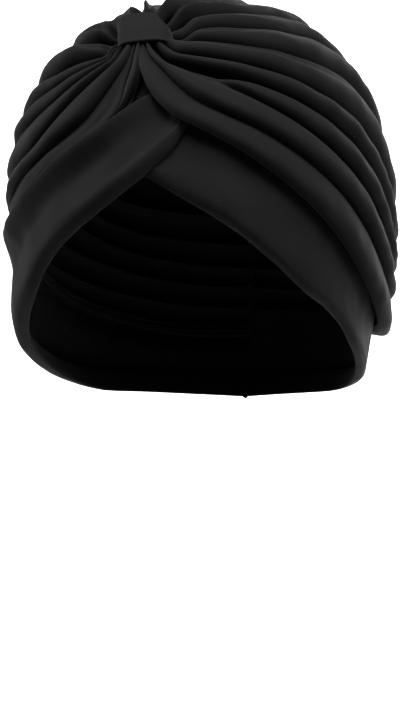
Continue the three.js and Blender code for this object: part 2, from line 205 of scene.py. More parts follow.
leftWrap = {
    "name": "left_pleats",
    "node": "left_wrap",
    "side": 1,
    "stepsPerStation": 17,
    "samplesPerPleat": 22,
    "groove": 4.6,
    "pinch": 2.7,
    "fan": 1.3,
    "deeper": 1.5,
    "fuller": 1.2,
    "slipShare": 0.2,
    "softness": 0.7,
    "seamSink": 1.6,
    "hem": "over",
    "thickness": 0.001,
    "folds": [
        {"core": (1.5, 0), "knot": (5, 0), "collar": (16, 7.5), "brow": (28, 20.5),
         "temple": (46, 44), "side": (72, 57.5), "ear": (104, 67.5), "quarter": (129, 82),
         "rear": (148, 119), "seam": (155, 187)},
        {"core": (1.5, 10), "knot": (5, 10), "collar": (14, 22.5), "brow": (28, 36.5),
         "temple": (45, 56), "side": (70, 69.5), "ear": (100, 80), "quarter": (122, 91),
         "rear": (143, 125), "seam": (150, 186)},
        {"core": (1.5, 20), "knot": (5, 20), "collar": (14, 32), "brow": (26, 51.5),
         "temple": (45, 68.5), "side": (70, 80), "ear": (94, 88), "quarter": (116, 97),
         "rear": (138, 128), "seam": (145, 185)},
        {"core": (1.5, 32), "knot": (6, 32), "collar": (14, 42), "brow": (26, 62),
         "temple": (44, 78.5), "side": (66, 89), "ear": (88, 95), "quarter": (109, 102),
         "rear": (133, 131), "seam": (140, 184)},
        {"core": (1.5, 48), "knot": (8.4, 48), "collar": (14, 54.5), "brow": (26, 74),
         "temple": (43, 88.5), "side": (62, 99), "ear": (80, 103.5), "quarter": (102, 110),
         "rear": (126, 136), "seam": (133, 183.5)},
        {"core": (1.5, 72), "knot": (8.8, 72), "collar": (14, 80), "brow": (26, 92),
         "temple": (42, 106), "side": (56, 116), "ear": (70, 120), "quarter": (91, 124),
         "rear": (117, 141), "seam": (125, 182.5)},
        {"core": (1.5, 94), "knot": (8.8, 94), "collar": (14, 105), "brow": (24, 112),
         "temple": (36, 121), "side": (47, 128.5), "ear": (60, 132.5), "quarter": (79, 138),
         "rear": (103, 151), "seam": (113, 181.5)},
        {"core": (1.5, 132), "knot": (8.4, 132), "collar": (13, 131), "brow": (21, 135),
         "temple": (31, 137), "side": (41, 141.5), "ear": (52, 143), "quarter": (70, 149),
         "rear": (90, 160), "seam": (99, 180.5)},
        {"core": (1.5, 158), "knot": (7, 158), "collar": (12, 156), "brow": (19, 156),
         "temple": (27, 157), "side": (36, 158), "ear": (45, 160), "quarter": (57, 163),
         "rear": (73, 169), "seam": (84, 180)},
        {"core": (1.5, 180), "knot": (5, 180), "collar": (12, 180), "brow": (18, 180),
         "temple": (24, 180), "side": (31, 180), "ear": (39, 180), "quarter": (48, 179.5),
         "rear": (58, 179), "seam": (68, 178.5)},
    ],
    "rises": [
        {"core": 1.5, "knot": 2.5, "collar": 3, "brow": 3, "temple": 4, "side": 4.5, "ear": 4.5,
         "quarter": 4.5, "rear": 4, "seam": 2.5},
        {"core": 1.5, "knot": 2.5, "collar": 3, "brow": 4, "temple": 5, "side": 5, "ear": 4.5,
         "quarter": 4.5, "rear": 4, "seam": 2.5},
        {"core": 1.5, "knot": 2.5, "collar": 2.5, "brow": 2.5, "temple": 4.5, "side": 5,
         "ear": 4.5, "quarter": 4.5, "rear": 4, "seam": 2.5},
        {"core": 1.5, "knot": 2, "collar": 3, "brow": 4.5, "temple": 5, "side": 5, "ear": 4.5,
         "quarter": 4.5, "rear": 4, "seam": 2.5},
        {"core": 1.5, "knot": 2, "collar": 4, "brow": 5, "temple": 5, "side": 5, "ear": 5,
         "quarter": 4.5, "rear": 4, "seam": 2.5},
        {"core": 1.5, "knot": 2, "collar": 4, "brow": 5, "temple": 5, "side": 4.5, "ear": 5,
         "quarter": 4.5, "rear": 4, "seam": 2.5},
        {"core": 1.5, "knot": 3, "collar": 5, "brow": 5, "temple": 4, "side": 4, "ear": 4,
         "quarter": 4.5, "rear": 4, "seam": 2.5},
        {"core": 1.5, "knot": 5, "collar": 8, "brow": 6, "temple": 4, "side": 3.5, "ear": 4,
         "quarter": 4.5, "rear": 4, "seam": 2.5},
        {"core": 1.5, "knot": 5, "collar": 7, "brow": 6, "temple": 4, "side": 3.5, "ear": 3.5,
         "quarter": 4, "rear": 4, "seam": 2.5},
    ],
    "lips": [
        {"core": 0, "knot": 1, "collar": 5, "brow": 4.4, "temple": 1.4, "side": 1.2, "ear": 1.2,
         "quarter": 1.2, "rear": 1.2, "seam": 1.2},
        {"core": 0, "knot": 0, "collar": 3, "brow": 3.4, "temple": 0.8, "side": 0, "ear": 0,
         "quarter": 0, "rear": 0, "seam": 0},
        {"core": 0, "knot": 0, "collar": 1, "brow": 1.4, "temple": 0, "side": 0, "ear": 0,
         "quarter": 0, "rear": 0, "seam": 0},
    ],
    # shallow creases inside a pleat: from and to are places along the stations
    "creases": [
        {"pleat": 4, "from": 2.0, "to": 5.8, "startAt": 0.5, "endAt": 0.55, "depth": 1.3,
         "width": 0.09},
        {"pleat": 5, "from": 1.8, "to": 3.2, "startAt": 0.4, "endAt": 0.5, "depth": 1.5,
         "width": 0.12},
        {"pleat": 6, "from": 1.4, "to": 4.8, "startAt": 0.5, "endAt": 0.45, "depth": 1.6,
         "width": 0.11},
        {"pleat": 7, "from": 1.2, "to": 4.4, "startAt": 0.35, "endAt": 0.4, "depth": 2.2,
         "width": 0.1},
        {"pleat": 7, "from": 1.2, "to": 3.8, "startAt": 0.7, "endAt": 0.72, "depth": 1.8,
         "width": 0.1},
        {"pleat": 8, "from": 1.2, "to": 4.0, "startAt": 0.5, "endAt": 0.5, "depth": 2.6,
         "width": 0.13},
    ],
    # a pleat that only starts to fill at a place, with a blunt end like a tongue
    "tongues": [{"pleat": 2, "at": 3.0, "ramp": 0.22, "sink": 4.2}],
    # a pleat pulled flat up to a place along the stations
    "panels": [{"pleat": 0, "from": 2.6, "to": 4.2, "left": 0.45}],
    "bulges": [{"pleat": 8, "at": 1.7, "reach": 0.8, "height": 2.5}],
    "levels": [],
    "underlap": 30,
    "pinchFrom": 5,
}

rightWrap = {
    "name": "right_pleats",
    "node": "right_wrap",
    "side": -1,
    "stepsPerStation": 17,
    "samplesPerPleat": 22,
    "groove": 4.6,
    "pinch": 2.7,
    "fan": 1.3,
    "deeper": 1.5,
    "fuller": 0.1,
    "slipShare": 0.2,
    "softness": 0.7,
    "seamSink": 1.6,
    "hem": "behind",
    "thickness": 0.001,
    "folds": [
        {"core": (1.5, 4), "knot": (5, 4), "collar": (17, -2), "brow": (28, 13.5),
         "temple": (42, 39.5), "side": (60, 59), "ear": (82, 78), "quarter": (109, 91),
         "rear": (139, 118), "seam": (155, 173)},
        {"core": (1.5, 14), "knot": (5, 16), "collar": (15.5, 7.5), "brow": (27.4, 13.2),
         "temple": (42, 40), "side": (60, 59.5), "ear": (82, 78.5), "quarter": (109, 91.5),
         "rear": (139, 118.5), "seam": (154.6, 173)},
        {"core": (1.5, 24), "knot": (5, 24), "collar": (14, 18.5), "brow": (28, 29),
         "temple": (42, 48.5), "side": (56, 65), "ear": (76, 81), "quarter": (103, 94),
         "rear": (134, 123), "seam": (150, 174)},
        {"core": (1.5, 40), "knot": (7.8, 40), "collar": (14, 33.5), "brow": (28, 47),
         "temple": (40, 56), "side": (53, 71.5), "ear": (70, 86.5), "quarter": (96, 100),
         "rear": (128, 127), "seam": (145, 175)},
        {"core": (1.5, 46), "knot": (9, 46), "collar": (13, 42), "brow": (22, 55.5),
         "temple": (31, 65.5), "side": (42, 77.5), "ear": (58, 91), "quarter": (85, 105),
         "rear": (123, 131), "seam": (140, 176)},
        {"core": (1.5, 54), "knot": (8.8, 54), "collar": (12, 49), "brow": (19, 65.5),
         "temple": (28, 77), "side": (38, 88), "ear": (53, 99), "quarter": (79, 111),
         "rear": (117, 134), "seam": (134, 176.5)},
        {"core": (1.5, 66), "knot": (8.8, 66), "collar": (12, 60), "brow": (18, 77.5),
         "temple": (25, 87), "side": (34, 98), "ear": (48, 107.5), "quarter": (72, 118.5),
         "rear": (110, 138), "seam": (127, 177.5)},
        {"core": (1.5, 99), "knot": (8.8, 99), "collar": (13, 95), "brow": (19, 102),
         "temple": (26, 113), "side": (34, 123), "ear": (45, 128), "quarter": (65, 135),
         "rear": (97, 150), "seam": (112, 178.5)},
        {"core": (1.5, 142), "knot": (8.4, 142), "collar": (12, 147), "brow": (18, 149),
         "temple": (24, 147), "side": (31, 147), "ear": (41, 147), "quarter": (58, 151),
         "rear": (84, 161), "seam": (98, 179.5)},
        {"core": (1.5, 165), "knot": (7, 165), "collar": (12, 166), "brow": (18, 164),
         "temple": (25, 162), "side": (33, 161), "ear": (43, 160), "quarter": (56, 164),
         "rear": (72, 170), "seam": (84, 180)},
        {"core": (1.5, 180), "knot": (5, 180), "collar": (12, 180), "brow": (18, 180),
         "temple": (24, 180), "side": (31, 180), "ear": (39, 180), "quarter": (48, 180.5),
         "rear": (58, 181), "seam": (68, 181.5)},
    ],
    "rises": [
        {"core": 1.5, "knot": 3, "collar": 5.5, "brow": 1.2, "temple": 0.3, "side": 0.3,
         "ear": 0.3, "quarter": 0.3, "rear": 0.3, "seam": 0.3},
        {"core": 1.5, "knot": 2.5, "collar": 3, "brow": 1.6, "temple": 1.0, "side": 1.2,
         "ear": 2.2, "quarter": 4, "rear": 4, "seam": 2.5},
        {"core": 1.5, "knot": 2.5, "collar": 5, "brow": 5, "temple": 4.5, "side": 4, "ear": 4,
         "quarter": 4.5, "rear": 4, "seam": 2.5},
        {"core": 1.5, "knot": 2, "collar": 4, "brow": 4.5, "temple": 4.5, "side": 4.5,
         "ear": 4.5, "quarter": 4.5, "rear": 4, "seam": 2.5},
        {"core": 1.5, "knot": 2, "collar": 3, "brow": 3.5, "temple": 4, "side": 4.5, "ear": 4.5,
         "quarter": 4.5, "rear": 4, "seam": 2.5},
        {"core": 1.5, "knot": 2, "collar": 2.5, "brow": 3, "temple": 4, "side": 4.5, "ear": 4.5,
         "quarter": 4.5, "rear": 4, "seam": 2.5},
        {"core": 1.5, "knot": 2, "collar": 5, "brow": 7, "temple": 6, "side": 5, "ear": 4.5,
         "quarter": 4.5, "rear": 4, "seam": 2.5},
        {"core": 1.5, "knot": 3.5, "collar": 7.5, "brow": 7, "temple": 5, "side": 4, "ear": 4,
         "quarter": 4.5, "rear": 4, "seam": 2.5},
        {"core": 1.5, "knot": 5, "collar": 8, "brow": 6, "temple": 4, "side": 3.5, "ear": 4,
         "quarter": 4.5, "rear": 4, "seam": 2.5},
        {"core": 1.5, "knot": 5, "collar": 7, "brow": 6, "temple": 4, "side": 3.5, "ear": 3.5,
         "quarter": 4, "rear": 4, "seam": 2.5},
    ],
    "lips": [
        {"core": 0, "knot": 0, "collar": -0.6, "brow": -0.3, "temple": 0, "side": -0.3,
         "ear": -0.8, "quarter": -1.2, "rear": -1.2, "seam": -1.2},
        {"core": 0, "knot": 0, "collar": -0.6, "brow": -0.3, "temple": 0, "side": -0.3,
         "ear": -0.8, "quarter": -1.2, "rear": -1.2, "seam": -1.2},
    ],
    "creases": [
        {"pleat": 1, "from": 1.3, "to": 3.5, "startAt": 0.42, "endAt": 0.3, "depth": 1.3,
         "width": 0.16},
        {"pleat": 6, "from": 0.9, "to": 3.0, "startAt": 0.3, "endAt": 0.32, "depth": 1.6,
         "width": 0.09},
        {"pleat": 7, "from": 0.5, "to": 3.4, "startAt": 0.24, "endAt": 0.3, "depth": 7.5,
         "width": 0.1},
        {"pleat": 7, "from": 0.5, "to": 3.6, "startAt": 0.6, "endAt": 0.62, "depth": 7.5,
         "width": 0.1},
        {"pleat": 9, "from": 0.8, "to": 4.0, "startAt": 0.5, "endAt": 0.5, "depth": 4.0,
         "width": 0.13},
    ],
    "tongues": [],
    "panels": [],
    "bulges": [
        {"pleat": 2, "at": 4.3, "reach": 1.1, "height": -1.4},
        {"pleat": 3, "at": 4.3, "reach": 1.1, "height": -1.6},
        {"pleat": 4, "at": 4.2, "reach": 1.1, "height": -1.4},
        {"pleat": 5, "at": 4.0, "reach": 1.1, "height": -1.0},
        {"pleat": 7, "at": 1.9, "reach": 0.8, "height": 1.6},
        {"pleat": 9, "at": 1.7, "reach": 0.7, "height": 3.5},
    ],
    # a pleat that stays level down to the fold below it
    "levels": [{"pleat": 1, "from": 1.7, "full": 2.6, "to": 6.0}],
    "underlap": 0,
    "pinchFrom": 6,
}


def pleatSamples(count):
    columns = {key: [row[key] for row in pleatSection] for key in ("share", "slip", "height")}
    samples = []
    for step in range(count + 1):
        place = (len(pleatSection) - 1) * step / count
        samples.append({key: smoothBetween(column, place) for key, column in columns.items()})
    samples[0]["share"] = 0
    samples[-1]["share"] = 1
    return samples


def creaseAt(wrap, pleat, share, place):
    depth = 0
    for crease in wrap["creases"]:
        if crease["pleat"] != pleat or not crease["from"] < place < crease["to"]:
            continue
        along = (place - crease["from"]) / (crease["to"] - crease["from"])
        centre = crease["startAt"] + (crease["endAt"] - crease["startAt"]) * along
        strength = fade(0, 0.2, along) * fade(0, 0.35, 1 - along)
        depth += crease["depth"] * strength * math.exp(-((share - centre) / crease["width"]) ** 2)
    return depth


def wrapRows(wrap):
    side = wrap["side"]
    pleats = len(wrap["rises"])
    folds = []
    for fold in wrap["folds"]:
        folds.append([directionFromKnot(fold[name][0], side * fold[name][1]) for name in stations])
    rises = [[row[name] for name in stations] for row in wrap["rises"]]
    lips = [[row[name] for name in stations] for row in wrap["lips"]]
    samples = pleatSamples(wrap["samplesPerPleat"])
    steps = wrap["stepsPerStation"] * (len(stations) - 1)
    rows = []
    for step in range(steps + 1):
        place = (len(stations) - 1) * step / steps
        lines = [smoothBetween(stops, place).normalized() for stops in folds]
        ups = []
        for k in range(pleats + 1):
            up = lines[min(k + 1, pleats)] - lines[max(k - 1, 0)]
            ups.append(up.normalized())
        seamEnd = fade(0, 0.12, (len(stations) - 1) - place)
        floors = []
        for k in range(pleats + 1):
            lip = smoothBetween(lips[k], place) if k < len(lips) else 0
            floors.append(wrap["groove"] + lip)
        row = []
        for k in range(pleats):
            width = lines[k].angle(lines[k + 1]) * head["halfDepth"]
            slipMost = wrap["slipShare"] * width
            deeper = wrap["deeper"] * fade(1, 8, width)
            rise = smoothBetween(rises[k], place) + wrap["fuller"] * fade(2, 9, width)
            for bulge in wrap["bulges"]:
                if bulge["pleat"] == k:
                    rise += bulge["height"] * math.exp(-((place - bulge["at"]) / bulge["reach"]) ** 2)
            for panel in wrap["panels"]:
                if panel["pleat"] == k:
                    rise *= panel["left"] + (1 - panel["left"]) * fade(panel["from"], panel["to"], place)
            for n, sample in enumerate(samples):
                if k > 0 and n == 0:
                    continue
                share = min(max(sample["share"], 0), 1)
                nearLine = k if share < 0.5 else k + 1
                slip = sample["slip"] * min(1, slipMost / 1.5)
                if nearLine == pleats:
                    slip = min(slip, 0)
                if nearLine == 0 and wrap["hem"] == "over":
                    slip = slip * 2.2 if slip > 0 else slip
                if nearLine == 0 and wrap["hem"] == "behind":
                    slip = -abs(sample["slip"]) * 2 * fade(2, 3, place)
                moved = ups[nearLine] * (slip / head["halfDepth"])
                direction = (lines[k].lerp(lines[k + 1], share) + moved).normalized()
                floor = floors[k] + (floors[k + 1] - floors[k]) * share - deeper
                full = sample["height"]
                for level in wrap["levels"]:
                    if level["pleat"] == k and share < 0.5:
                        strength = fade(level["from"], level["full"], place)
                        strength *= fade(0, 1, level["to"] - place)
                        full += (1 - (1 - full) ** 4 - full) * strength
                height = floor + (rise + deeper) * full * (0.35 + 0.65 * seamEnd)
                height -= creaseAt(wrap, k, share, place) * fade(0.3, 0.8, full)
                for tongue in wrap["tongues"]:
                    if tongue["pleat"] == k:
                        rounding = 1.6 * tongue["ramp"] * (2 * share - 1) ** 2
                        start = place - tongue["at"] - rounding
                        shut = 1 - fade(-tongue["ramp"], tongue["ramp"], start)
                        height -= tongue["sink"] * shut * fade(0, 0.5, full)
                soft = noise.noise(direction * 9 + Vector((3.1 * k, 0, 0)))
                height += wrap["softness"] * soft * full * fade(1.5, 3.5, place)
                height -= wrap["seamSink"] * (1 - seamEnd)
                # the upper pleats are drawn down hard where they go into the loop
                if wrap["pinchFrom"] <= k < pleats - 1:
                    height -= wrap["pinch"] * (1 - fade(0.9, 2.0, place))
                # the lower ones fan out full from under it
                if k < wrap["pinchFrom"]:
                    height += wrap["fan"] * full * math.exp(-((place - 0.9) / 0.5) ** 2)
                point = pointAbove(direction, height)
                point.x *= seamEnd
                row.append(point)
        # the lowest pleat turns under the loop and reaches behind the other wrap
        if wrap["underlap"]:
            reach = wrap["underlap"] * fade(0.4, 1.6, place) * (1 - fade(2.9, 3.3, place))
            tucked = 1 - fade(2.9, 3.3, place)
            hem = row[0]
            behind = []
            for part in (1, 0.75, 0.5, 0.25, 0.08):
                turn = Matrix.Rotation(math.radians(-reach * part), 3, knotOut)
                under = pointAbove(turn @ lines[0], 0.7)
                behind.append(hem.lerp(under, tucked))
            row[:0] = behind
        # both seams are turned in, so the two wraps close on each other
        crown = row[-1]
        row.extend([turnedIn(crown, depth) for depth in seamTurns])
        rows.append(row)
    last = rows[-1]
    for depth in seamTurns:
        rows.append([turnedIn(point, depth) for point in last])
    return rows


def directionAt(azimuth, height, side):
    slope = math.atan2(height - head["centreZ"], head["halfDepth"])
    turn = math.radians(azimuth)
    for _ in range(10):
        flat = math.cos(slope)
        result = Vector((side * flat * math.sin(turn), -flat * math.cos(turn), math.sin(slope)))
        wanted = (height - head["centreZ"]) / headRadius(result)
        slope += 0.7 * (math.asin(min(max(wanted, -0.98), 0.98)) - slope)
    return result


# from behind the hem, round it and up to the crest: mm above the hem, share of the way up,
# height off the head, and the heights of body and crest
rightBand = {
    "name": "right_edge",
    "node": "right_band",
    "softness": 0.7,
    # shallow drag lines near the crossing
    "wrinkles": [
        {"azimuth": -6, "across": 0.55, "lean": 0.28, "slope": 5.0, "reach": 9, "depth": 1.0},
        {"azimuth": 2, "across": 0.4, "lean": 0.2, "slope": 4.5, "reach": 12, "depth": 0.8},
    ],
    "side": -1,
    "steps": 150,
    "samples": 44,
    "thickness": 0.0009,
    "rows": [
        {"azimuth": -14, "low": -37, "high": -30, "lift": 2.2, "body": 0, "crest": 0},
        {"azimuth": -8, "low": -49, "high": -28, "lift": 2.6, "body": 0.3, "crest": 0},
        {"azimuth": 0, "low": -60, "high": -31, "lift": 2.6, "body": 0.6, "crest": 0.3},
        {"azimuth": 10, "low": -71.5, "high": -41.5, "lift": 2, "body": 1, "crest": 1},
        {"azimuth": 20, "low": -82.5, "high": -50.5, "lift": 0.8, "body": 1, "crest": 1},
        {"azimuth": 30, "low": -95, "high": -60, "lift": 0.2, "body": 1, "crest": 1},
        {"azimuth": 42, "low": -112, "high": -72.5, "lift": 0.6, "body": 1.1, "crest": 0.9},
        {"azimuth": 55, "low": -125, "high": -83, "lift": 2.2, "body": 1.4, "crest": 0.6},
        {"azimuth": 71, "low": -138, "high": -92, "lift": 4.2, "body": 1.6, "crest": 0.3},
        {"azimuth": 90, "low": -151, "high": -107, "lift": 4.2, "body": 1.6, "crest": 0.3},
        {"azimuth": 105, "low": -160, "high": -117.5, "lift": 3, "body": 1.4, "crest": 0.45},
        {"azimuth": 120, "low": -167, "high": -128.5, "lift": 1.6, "body": 1.2, "crest": 0.7},
        {"azimuth": 140, "low": -172, "high": -140.5, "lift": 0.6, "body": 1, "crest": 0.9},
        {"azimuth": 160, "low": -176, "high": -148.5, "lift": 0, "body": 1, "crest": 1},
        {"azimuth": 180, "low": -178, "high": -150, "lift": 0, "body": 1, "crest": 1},
    ],
    "section": [
        {"up": 9, "across": 0, "height": 0.9, "body": 0.4, "crest": 0},
        {"up": 5, "across": 0, "height": 0.6, "body": 0.2, "crest": 0},
        {"up": 1.6, "across": 0, "height": 0.5, "body": 0, "crest": 0},
        {"up": 0.4, "across": 0, "height": 0.6, "body": 0, "crest": 0},
        {"up": 0, "across": 0, "height": 1.1, "body": 0, "crest": 0},
        {"up": 0.3, "across": 0, "height": 1.7, "body": 0, "crest": 0},
        {"up": 1.1, "across": 0, "height": 2.3, "body": 0.5, "crest": 0},
        {"up": 2.5, "across": 0, "height": 2.8, "body": 1.4, "crest": 0},
        {"up": 4.5, "across": 0, "height": 3.0, "body": 2.3, "crest": 0},
        {"up": 3, "across": 0.12, "height": 2.9, "body": 2.6, "crest": 0},
        {"up": 0, "across": 0.29, "height": 2.6, "body": 2.4, "crest": 0},
        {"up": 0, "across": 0.42, "height": 2.4, "body": 1.7, "crest": 0},
        {"up": 0, "across": 0.55, "height": 2.4, "body": 0.8, "crest": 0},
        {"up": 0, "across": 0.66, "height": 2.4, "body": 0.2, "crest": 0.1},
        {"up": 0, "across": 0.76, "height": 2.4, "body": 0.2, "crest": 0.9},
        {"up": 0, "across": 0.85, "height": 2.4, "body": 0.4, "crest": 2.6},
        {"up": 0, "across": 0.93, "height": 2.4, "body": 0.6, "crest": 4.3},
        {"up": -0.2, "across": 1, "height": 2.4, "body": 0.6, "crest": 5.1},
        {"up": 0.4, "across": 1, "height": 2.4, "body": 0.6, "crest": 4.9},
        {"up": 0.8, "across": 1, "height": 2.2, "body": 0.6, "crest": 3.8},
        {"up": 1.0, "across": 1, "height": 1.6, "body": 0.6, "crest": 2.0},
        {"up": 1.0, "across": 1, "height": 0.9, "body": 0.2, "crest": 0.6},
    ],
}

leftBand = {
    "name": "left_edge",
    "node": "left_band",
    "softness": 0.7,
    "wrinkles": [],
    "side": 1,
    "steps": 150,
    "samples": 36,
    "thickness": 0.0009,
    "rows": [
        {"azimuth": -8, "low": -51, "high": -42, "lift": 0, "body": 0.2, "crest": 1},
        {"azimuth": 0, "low": -59, "high": -40, "lift": 0, "body": 0.2, "crest": 1},
        {"azimuth": 10, "low": -69, "high": -38, "lift": 0, "body": 0.3, "crest": 1},
        {"azimuth": 20, "low": -80, "high": -40, "lift": 0, "body": 1, "crest": 1},
        {"azimuth": 30, "low": -94, "high": -50, "lift": 0, "body": 1, "crest": 1},
        {"azimuth": 42, "low": -111, "high": -65, "lift": 0, "body": 1, "crest": 1},
        {"azimuth": 55, "low": -124, "high": -84, "lift": 0, "body": 1, "crest": 1},
        {"azimuth": 71, "low": -140, "high": -107, "lift": 0, "body": 1, "crest": 1},
        {"azimuth": 90, "low": -153, "high": -128, "lift": 0, "body": 1, "crest": 1},
        {"azimuth": 105, "low": -162.5, "high": -135, "lift": 0, "body": 1, "crest": 1},
        {"azimuth": 140, "low": -173, "high": -142, "lift": 0, "body": 1, "crest": 1},
        {"azimuth": 180, "low": -178, "high": -143, "lift": 0, "body": 1, "crest": 1},
    ],
    "section": [
        {"up": 9, "across": 0, "height": 0.9, "body": 0.3, "crest": 0},
        {"up": 5, "across": 0, "height": 0.6, "body": 0.1, "crest": 0},
        {"up": 1.6, "across": 0, "height": 0.5, "body": 0, "crest": 0},
        {"up": 0.4, "across": 0, "height": 0.6, "body": 0, "crest": 0},
        {"up": 0, "across": 0, "height": 1.1, "body": 0, "crest": 0},
        {"up": 0.3, "across": 0, "height": 1.7, "body": 0, "crest": 0},
        {"up": 1.1, "across": 0, "height": 2.3, "body": 0.4, "crest": 0},
        {"up": 2.5, "across": 0, "height": 2.8, "body": 1.2, "crest": 0},
        {"up": 4.5, "across": 0, "height": 3.0, "body": 1.9, "crest": 0},
        {"up": 2.6, "across": 0.13, "height": 2.9, "body": 2.1, "crest": 0},
        {"up": 0, "across": 0.3, "height": 2.6, "body": 1.9, "crest": 0},
        {"up": 0, "across": 0.45, "height": 2.4, "body": 1.2, "crest": 0},
        {"up": 0, "across": 0.62, "height": 2.4, "body": 0.4, "crest": 0},
        {"up": 0, "across": 0.8, "height": 2.4, "body": 0.2, "crest": 0},
        {"up": 0, "across": 1, "height": 2.4, "body": 0, "crest": 0},
        {"up": 3, "across": 1, "height": 2.2, "body": 0, "crest": 0},
    ],
}


def bandRows(band):
    table = band["rows"]
    azimuths = [row["azimuth"] for row in table]
    columns = {}
    for key in ("low", "high", "lift", "body", "crest"):
        columns[key] = [row[key] for row in table]
    section = {}
    for key in ("up", "across", "height", "body", "crest"):
        section[key] = [row[key] for row in band["section"]]
    rows = []
    for step in range(band["steps"] + 1):
        azimuth = azimuths[0] + (azimuths[-1] - azimuths[0]) * step / band["steps"]
        index = max(n for n in range(len(azimuths) - 1) if azimuths[n] <= azimuth)
        place = index + (azimuth - azimuths[index]) / (azimuths[index + 1] - azimuths[index])
        here = {key: smoothBetween(column, place) for key, column in columns.items()}
        row = []
        for sample in range(band["samples"] + 1):
            at = (len(band["section"]) - 1) * sample / band["samples"]
            point = {key: smoothBetween(column, at) for key, column in section.items()}
            level = here["low"] + (here["high"] - here["low"]) * point["across"] + point["up"]
            height = here["lift"] + point["height"]
            height = height + point["body"] * here["body"] + point["crest"] * here["crest"]
            direction = directionAt(azimuth, level, band["side"])
            for soft in band["wrinkles"]:
                off = (azimuth - soft["azimuth"]) * soft["lean"]
                off += (point["across"] - soft["across"]) * soft["slope"]
                near = math.exp(-((azimuth - soft["azimuth"]) / soft["reach"]) ** 2)
                height -= soft["depth"] * near * math.exp(-off ** 2) * fade(0.15, 0.4, point["across"])
            height += band["softness"] * noise.noise(direction * 8) * fade(0, 0.3, point["across"])
            row.append(pointAbove(direction, height))
        rows.append(row)
    # the back seam is turned in
    last = rows[-1]
    for depth in bandSeamTurns:
        rows.append([point + Vector((0, -depth, 0)) for point in last])
    return rows


loop = {
    "name": "gathering_loop",
    "node": "knot_loop",
    "halfSpan": 12,
    "halfWidth": 10,
    "footHalfWidth": 8.2,
    "top": 12.4,
    "skew": 1.7,
    "foot": 2.5,
    "saddle": 0.9,
    "frontDrop": 1.4,
    "rearReach": 0.88,
    "rearCorner": 4.2,
    "squareness": 0.55,
    "steps": 56,
    "samples": 40,
    "thickness": 0.0009,
    # across the width: share from the front edge, mm turned under, drop in mm
    "section": [
        {"share": 0.84, "drop": 1.9},
        {"share": 0.95, "drop": 1.9},
        {"share": 0.99, "drop": 1.5},
        {"share": 1.0, "drop": 0.9},
        {"share": 0.99, "drop": 0.35},
        {"share": 0.95, "drop": 0.06},
        {"share": 0.8, "drop": 0},
        {"share": 0.5, "drop": 0},
        {"share": 0.0, "drop": 0},
        {"share": -0.5, "drop": 0},
        {"share": -0.8, "drop": 0},
        {"share": -0.95, "drop": 0.06},
        {"share": -0.99, "drop": 0.35},
        {"share": -1.0, "drop": 0.9},
        {"share": -0.99, "drop": 1.5},
        {"share": -0.95, "drop": 1.9},
        {"share": -0.84, "drop": 1.9},
    ],
}


def loopRows():
    centre = Vector((0, 0, head["centreZ"]))
    top = headRadius(knotOut) + loop["top"]
    rise = loop["top"] - loop["foot"]
    shares = [row["share"] for row in loop["section"]]
    drops = [row["drop"] for row in loop["section"]]
    samples = loop["samples"]
    rows = []
    for step in range(loop["steps"] + 1):
        turn = math.pi * (step / loop["steps"] - 0.5)
        sine = math.sin(turn)
        cosine = max(math.cos(turn), 0)
        across = math.copysign(abs(sine) ** loop["squareness"], sine)
        down = rise * (1 - cosine ** loop["squareness"])
        halfWidth = loop["footHalfWidth"] + (loop["halfWidth"] - loop["footHalfWidth"]) * cosine
        # the way into the strap, so the turned edges lie under it
        inward = Vector((-sine, -cosine)).normalized()
        row = []
        for sample in range(samples + 1):
            at = (len(shares) - 1) * sample / samples
            share = smoothBetween(shares, at)
            under = smoothBetween(drops, at)
            x = loop["halfSpan"] * across + inward.x * under + loop["skew"] * (share - 0.6)
            sag = loop["saddle"] * (1 - share * share)
            # its rear corner on the wearer's left is pulled round
            if across > 0:
                x -= loop["rearCorner"] * across * fade(0.05, 1.1, -share)
            reach = halfWidth * share * (1 if share > 0 else loop["rearReach"])
            sag += loop["frontDrop"] * fade(0.2, 1, share)
            z = top - down + inward.y * under - sag - reach ** 2 / (2 * head["halfDepth"])
            row.append((centre + knotOut * z + knotLeft * x + knotDown * reach) / 1000)
        rows.append(row)
    return rows


class Socket:
    # wraps a node output so that sums on it add Math nodes
    def __init__(self, maker, output):
        self.maker = maker
        self.output = output

    def maths(self, operation, first, second=0.0):
        return self.maker.node("ShaderNodeMath", {"operation": operation}, {0: first, 1: second})

    def __add__(self, other):
        return self.maths("ADD", self, other)

    __radd__ = __add__

    def __sub__(self, other):
        return self.maths("SUBTRACT", self, other)

    def __rsub__(self, other):
        return self.maths("SUBTRACT", other, self)

    def __mul__(self, other):
        return self.maths("MULTIPLY", self, other)

    __rmul__ = __mul__

    def __pow__(self, other):
        return self.maths("POWER", self, other)

    def sine(self):
        return self.maths("SINE", self)

    def size(self):
        return self.maths("ABSOLUTE", self)


class ShaderMaker:
    def __init__(self, material):
        self.tree = material.node_tree

    def feed(self, node, values):
        for key, value in values.items():
            if isinstance(value, Socket):
                self.tree.links.new(value.output, node.inputs[key])
            else:
                node.inputs[key].default_value = value

    def node(self, kind, settings=None, values=None, output=0):
        made = self.tree.nodes.new(kind)
        for key, value in (settings or {}).items():
            setattr(made, key, value)
        self.feed(made, values or {})
        return Socket(self, made.outputs[output])


knit = {
    "darkColour": (0.0045, 0.0045, 0.0048, 1),
    "lightColour": (0.0105, 0.0105, 0.0112, 1),
    "roughness": 0.78,
    "roughnessSpread": 0.12,
    "sheen": 0.06,
    "sheenRoughness": 0.38,
    "specular": 0.12,
    "stitchWidth": 0.7,
    "stitchHeight": 0.5,
    "bump": 0.2,
    "bumpDepth": 0.0004,
    "fuzzScale": 900.0,
    "patchScale": 60.0,
}


